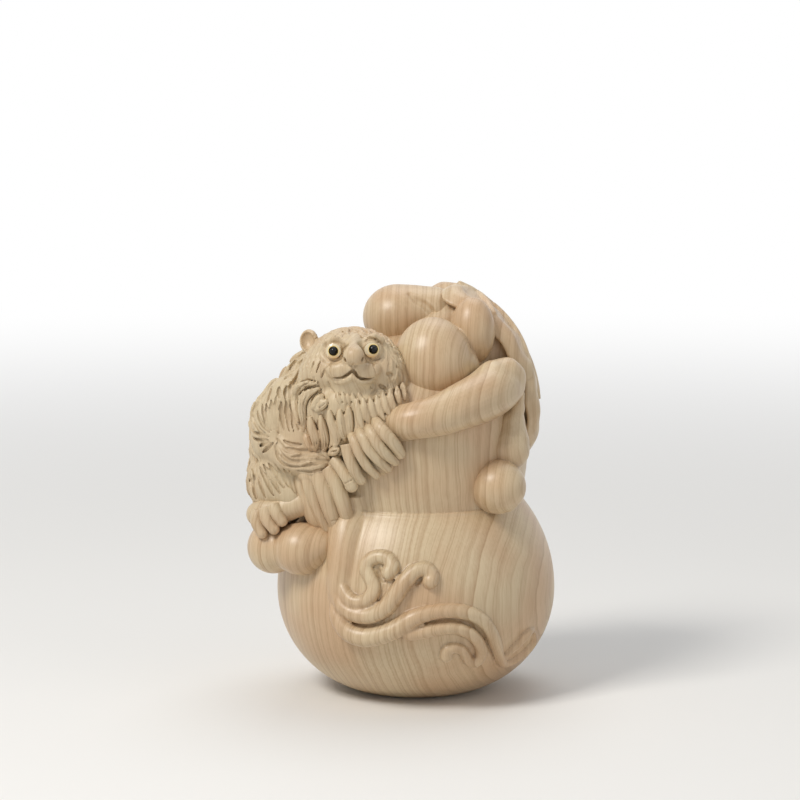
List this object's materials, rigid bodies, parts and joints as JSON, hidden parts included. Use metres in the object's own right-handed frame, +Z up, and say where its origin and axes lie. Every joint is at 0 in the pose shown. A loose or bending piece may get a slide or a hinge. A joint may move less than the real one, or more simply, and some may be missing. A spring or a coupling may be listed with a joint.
{
  "type": "monkey figurine",
  "caption": "Boxwood carving of a long-haired monkey clinging to a bottle gourd with vine, small gourds, leaf and curling tendrils, with inlaid bead eyes.",
  "frame": {"origin": "middle of the flat foot, on the axis of the big gourd", "axes": "+Z up along the gourd's axis, -Y towards the front that the monkey faces, +X to the leaf's side"},
  "size_m": [0.0494, 0.0466, 0.0663],
  "materials": {
    "boxwood": "fine-grained, hand-polished satin",
    "eye_ring": "polished horn or resin",
    "pupil": "glossy bead"
  },
  "bodies": {
    "root": {"boxwood_carving": "boxwood", "left_eye_ring": "eye_ring", "right_eye_ring": "eye_ring", "left_eye_pupil": "pupil", "right_eye_pupil": "pupil"}
  },
  "joints": []
}
